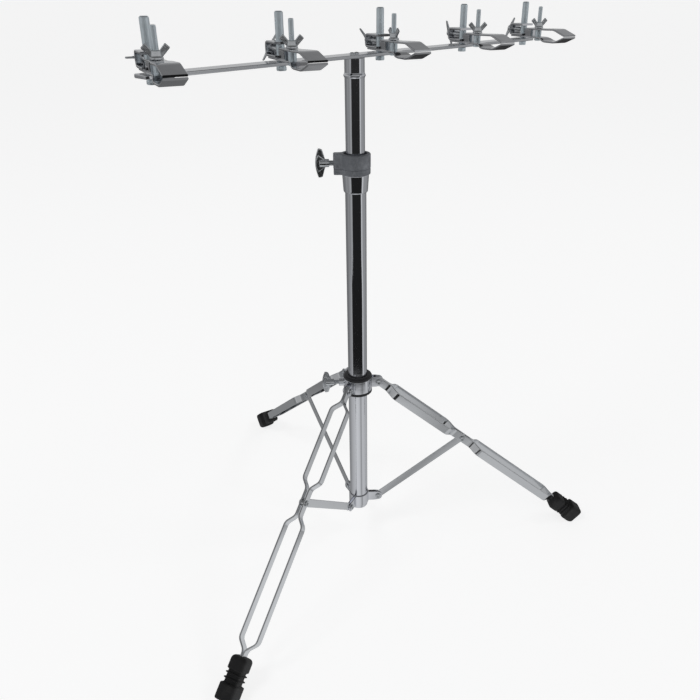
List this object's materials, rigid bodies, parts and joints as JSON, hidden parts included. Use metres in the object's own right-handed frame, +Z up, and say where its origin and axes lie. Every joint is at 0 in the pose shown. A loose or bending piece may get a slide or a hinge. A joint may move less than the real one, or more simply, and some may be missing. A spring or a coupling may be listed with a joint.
{
  "type": "percussion stand",
  "caption": "Folding tripod percussion stand: a height-adjustable chrome mast with a flat top bar carrying short posts, each with a wing-nut jaw clamp.",
  "frame": {"origin": "middle of the stand's box, on the floor under its rubber feet", "axes": "+X along the top bar, away from the long end; +Y to the side that the jaws point away from; +Z up along the mast"},
  "size_m": [0.7637, 0.6468, 0.807],
  "materials": {
    "chrome": "polished chrome plate",
    "zinc": "bright blue-white zinc plate",
    "cast_metal": "dark grey textured die casting",
    "black_plastic": "black moulded plastic",
    "rubber": "black rubber, slightly worn"
  },
  "bodies": {
    "base": {"lower_tube": "chrome", "clamp_sleeve": "chrome", "height_clamp": "cast_metal", "brace_collar": "chrome"},
    "mast_bearing": {"mast_bushing": "black_plastic"},
    "mast": {"upper_tube": "chrome", "mast_plug": "zinc", "top_bar": "chrome", "bar_screw_1": "zinc", "bar_screw_2": "zinc"},
    "height_screw": {"height_wing_screw": "zinc"},
    "hub": {"hub_band": "chrome", "hub_bushing": "black_plastic"},
    "hub_screw": {"hub_wing_screw": "zinc"},
    "brace_1": {"leg_1_brace": "chrome", "leg_1_brace_rivet": "chrome"},
    "leg_1": {"leg_1_strip_a": "chrome", "leg_1_strip_b": "chrome", "leg_1_top_rivet": "chrome", "leg_1_knee_rivet": "chrome", "leg_1_foot": "rubber"},
    "brace_2": {"leg_2_brace": "chrome", "leg_2_brace_rivet": "chrome"},
    "leg_2": {"leg_2_strip_a": "chrome", "leg_2_strip_b": "chrome", "leg_2_top_rivet": "chrome", "leg_2_knee_rivet": "chrome", "leg_2_foot": "rubber"},
    "brace_3": {"leg_3_brace": "chrome", "leg_3_brace_rivet": "chrome"},
    "leg_3": {"leg_3_strip_a": "chrome", "leg_3_strip_b": "chrome", "leg_3_top_rivet": "chrome", "leg_3_knee_rivet": "chrome", "leg_3_foot": "rubber"},
    "post_1_body": {"post_1": "zinc"},
    "clamp_1_body": {"clamp_frame_1": "chrome"},
    "jaw_1_body": {"upper_jaw_1": "chrome"},
    "nut_1_body": {"wing_nut_1": "zinc"},
    "post_screw_1_body": {"post_screw_1": "zinc"},
    "post_2_body": {"post_2": "zinc"},
    "clamp_2_body": {"clamp_frame_2": "chrome"},
    "jaw_2_body": {"upper_jaw_2": "chrome"},
    "nut_2_body": {"wing_nut_2": "zinc"},
    "post_screw_2_body": {"post_screw_2": "zinc"},
    "post_3_body": {"post_3": "zinc"},
    "clamp_3_body": {"clamp_frame_3": "chrome"},
    "jaw_3_body": {"upper_jaw_3": "chrome"},
    "nut_3_body": {"wing_nut_3": "zinc"},
    "post_screw_3_body": {"post_screw_3": "zinc"},
    "post_4_body": {"post_4": "zinc"},
    "clamp_4_body": {"clamp_frame_4": "chrome"},
    "jaw_4_body": {"upper_jaw_4": "chrome"},
    "nut_4_body": {"wing_nut_4": "zinc"},
    "post_screw_4_body": {"post_screw_4": "zinc"},
    "post_5_body": {"post_5": "zinc"},
    "clamp_5_body": {"clamp_frame_5": "chrome"},
    "jaw_5_body": {"upper_jaw_5": "chrome"},
    "nut_5_body": {"wing_nut_5": "zinc"},
    "post_screw_5_body": {"post_screw_5": "zinc"}
  },
  "joints": [
    {"name": "tripod_fold", "type": "hinge", "parent": "base", "child": "brace_1", "pos_m": [-0.04382, -0.06399, 0.066], "axis": [-0.3007, 0.9537, 0], "range_deg": [0, 48.15]},
    {"name": "brace_2_swing", "type": "hinge", "parent": "base", "child": "brace_2", "pos_m": [0.0103, -0.07598, 0.066], "axis": [-0.6756, -0.7373, 0], "range_deg": [0, 48.15]},
    {"name": "brace_3_swing", "type": "hinge", "parent": "base", "child": "brace_3", "pos_m": [-0.00637, -0.02312, 0.066], "axis": [0.9763, -0.2164, 0], "range_deg": [0, 48.15]},
    {"name": "leg_1_knee", "type": "hinge", "parent": "brace_1", "child": "leg_1", "pos_m": [-0.17352, -0.10488, 0.1775], "axis": [-0.3007, 0.9537, 0], "range_deg": [-96.3, 0]},
    {"name": "leg_2_knee", "type": "hinge", "parent": "brace_2", "child": "leg_2", "pos_m": [0.11056, -0.16786, 0.1775], "axis": [-0.6756, -0.7373, 0], "range_deg": [-96.3, 0]},
    {"name": "leg_3_knee", "type": "hinge", "parent": "brace_3", "child": "leg_3", "pos_m": [0.02306, 0.10966, 0.1775], "axis": [0.9763, -0.2164, 0], "range_deg": [-96.3, 0]},
    {"name": "hub_rise", "type": "hinge", "parent": "leg_1", "child": "hub", "pos_m": [-0.04382, -0.06399, 0.289], "axis": [-0.3007, 0.9537, 0], "range_deg": [0, 48.15]},
    {"name": "mast_turn", "type": "hinge", "parent": "base", "child": "mast_bearing", "pos_m": [-0.0133, -0.05436, 0.6231], "axis": [0, 0, 1], "continuous": true},
    {"name": "mast_slide", "type": "slide", "parent": "mast_bearing", "child": "mast", "axis": [0, 0, 1], "range_m": [-0.0909, 0.28]},
    {"name": "height_screw_turn", "type": "hinge", "parent": "base", "child": "height_screw", "pos_m": [-0.03542, -0.0341, 0.6231], "axis": [-0.7373, 0.6756, 0], "continuous": true},
    {"name": "hub_screw_turn", "type": "hinge", "parent": "hub", "child": "hub_screw", "pos_m": [-0.03542, -0.0341, 0.289], "axis": [-0.7373, 0.6756, 0], "continuous": true},
    {"name": "clamp_1_swivel", "type": "hinge", "parent": "mast", "child": "post_1_body", "pos_m": [-0.2923, -0.05436, 0.756], "axis": [0, 0, 1], "range_deg": [-11, 49]},
    {"name": "clamp_1_lift", "type": "slide", "parent": "post_1_body", "child": "clamp_1_body", "axis": [0, 0, 1], "range_m": [0, 0.0294]},
    {"name": "jaw_1_open", "type": "slide", "parent": "clamp_1_body", "child": "jaw_1_body", "axis": [0, 0, 1], "range_m": [0, 0.01]},
    {"name": "nut_1_turn", "type": "hinge", "parent": "jaw_1_body", "child": "nut_1_body", "pos_m": [-0.30402, -0.0884, 0.768], "axis": [0, 0, 1], "range_deg": [0, 3600]},
    {"name": "post_screw_1_turn", "type": "hinge", "parent": "clamp_1_body", "child": "post_screw_1_body", "pos_m": [-0.28416, -0.03072, 0.7682], "axis": [0.3256, 0.9455, 0], "continuous": true},
    {"name": "clamp_2_swivel", "type": "hinge", "parent": "mast", "child": "post_2_body", "pos_m": [-0.1293, -0.05436, 0.756], "axis": [0, 0, 1], "range_deg": [-11, 49]},
    {"name": "clamp_2_lift", "type": "slide", "parent": "post_2_body", "child": "clamp_2_body", "axis": [0, 0, 1], "range_m": [0, 0.0294]},
    {"name": "jaw_2_open", "type": "slide", "parent": "clamp_2_body", "child": "jaw_2_body", "axis": [0, 0, 1], "range_m": [0, 0.01]},
    {"name": "nut_2_turn", "type": "hinge", "parent": "jaw_2_body", "child": "nut_2_body", "pos_m": [-0.14102, -0.0884, 0.768], "axis": [0, 0, 1], "range_deg": [0, 3600]},
    {"name": "post_screw_2_turn", "type": "hinge", "parent": "clamp_2_body", "child": "post_screw_2_body", "pos_m": [-0.12116, -0.03072, 0.7682], "axis": [0.3256, 0.9455, 0], "continuous": true},
    {"name": "clamp_3_swivel", "type": "hinge", "parent": "mast", "child": "post_3_body", "pos_m": [0.0327, -0.05436, 0.756], "axis": [0, 0, 1], "range_deg": [-11, 49]},
    {"name": "clamp_3_lift", "type": "slide", "parent": "post_3_body", "child": "clamp_3_body", "axis": [0, 0, 1], "range_m": [0, 0.0294]},
    {"name": "jaw_3_open", "type": "slide", "parent": "clamp_3_body", "child": "jaw_3_body", "axis": [0, 0, 1], "range_m": [0, 0.01]},
    {"name": "nut_3_turn", "type": "hinge", "parent": "jaw_3_body", "child": "nut_3_body", "pos_m": [0.02098, -0.0884, 0.768], "axis": [0, 0, 1], "range_deg": [0, 3600]},
    {"name": "post_screw_3_turn", "type": "hinge", "parent": "clamp_3_body", "child": "post_screw_3_body", "pos_m": [0.04084, -0.03072, 0.7682], "axis": [0.3256, 0.9455, 0], "continuous": true},
    {"name": "clamp_4_swivel", "type": "hinge", "parent": "mast", "child": "post_4_body", "pos_m": [0.2037, -0.05436, 0.756], "axis": [0, 0, 1], "range_deg": [-11, 49]},
    {"name": "clamp_4_lift", "type": "slide", "parent": "post_4_body", "child": "clamp_4_body", "axis": [0, 0, 1], "range_m": [0, 0.0294]},
    {"name": "jaw_4_open", "type": "slide", "parent": "clamp_4_body", "child": "jaw_4_body", "axis": [0, 0, 1], "range_m": [0, 0.01]},
    {"name": "nut_4_turn", "type": "hinge", "parent": "jaw_4_body", "child": "nut_4_body", "pos_m": [0.19198, -0.0884, 0.768], "axis": [0, 0, 1], "range_deg": [0, 3600]},
    {"name": "post_screw_4_turn", "type": "hinge", "parent": "clamp_4_body", "child": "post_screw_4_body", "pos_m": [0.21184, -0.03072, 0.7682], "axis": [0.3256, 0.9455, 0], "continuous": true},
    {"name": "clamp_5_swivel", "type": "hinge", "parent": "mast", "child": "post_5_body", "pos_m": [0.3597, -0.05436, 0.756], "axis": [0, 0, 1], "range_deg": [-11, 49]},
    {"name": "clamp_5_lift", "type": "slide", "parent": "post_5_body", "child": "clamp_5_body", "axis": [0, 0, 1], "range_m": [0, 0.0294]},
    {"name": "jaw_5_open", "type": "slide", "parent": "clamp_5_body", "child": "jaw_5_body", "axis": [0, 0, 1], "range_m": [0, 0.01]},
    {"name": "nut_5_turn", "type": "hinge", "parent": "jaw_5_body", "child": "nut_5_body", "pos_m": [0.34798, -0.0884, 0.768], "axis": [0, 0, 1], "range_deg": [0, 3600]},
    {"name": "post_screw_5_turn", "type": "hinge", "parent": "clamp_5_body", "child": "post_screw_5_body", "pos_m": [0.36784, -0.03072, 0.7682], "axis": [0.3256, 0.9455, 0], "continuous": true}
  ],
  "couplings": [
    {"joint": "brace_2_swing", "follows": "tripod_fold", "ratio": 1},
    {"joint": "brace_3_swing", "follows": "tripod_fold", "ratio": 1},
    {"joint": "leg_1_knee", "follows": "tripod_fold", "ratio": -2},
    {"joint": "leg_2_knee", "follows": "tripod_fold", "ratio": -2},
    {"joint": "leg_3_knee", "follows": "tripod_fold", "ratio": -2},
    {"joint": "hub_rise", "follows": "tripod_fold", "ratio": 1},
    {"joint": "nut_1_turn", "follows": "jaw_1_open", "rad_per_m": 6283.2},
    {"joint": "nut_2_turn", "follows": "jaw_2_open", "rad_per_m": 6283.2},
    {"joint": "nut_3_turn", "follows": "jaw_3_open", "rad_per_m": 6283.2},
    {"joint": "nut_4_turn", "follows": "jaw_4_open", "rad_per_m": 6283.2},
    {"joint": "nut_5_turn", "follows": "jaw_5_open", "rad_per_m": 6283.2}
  ]
}
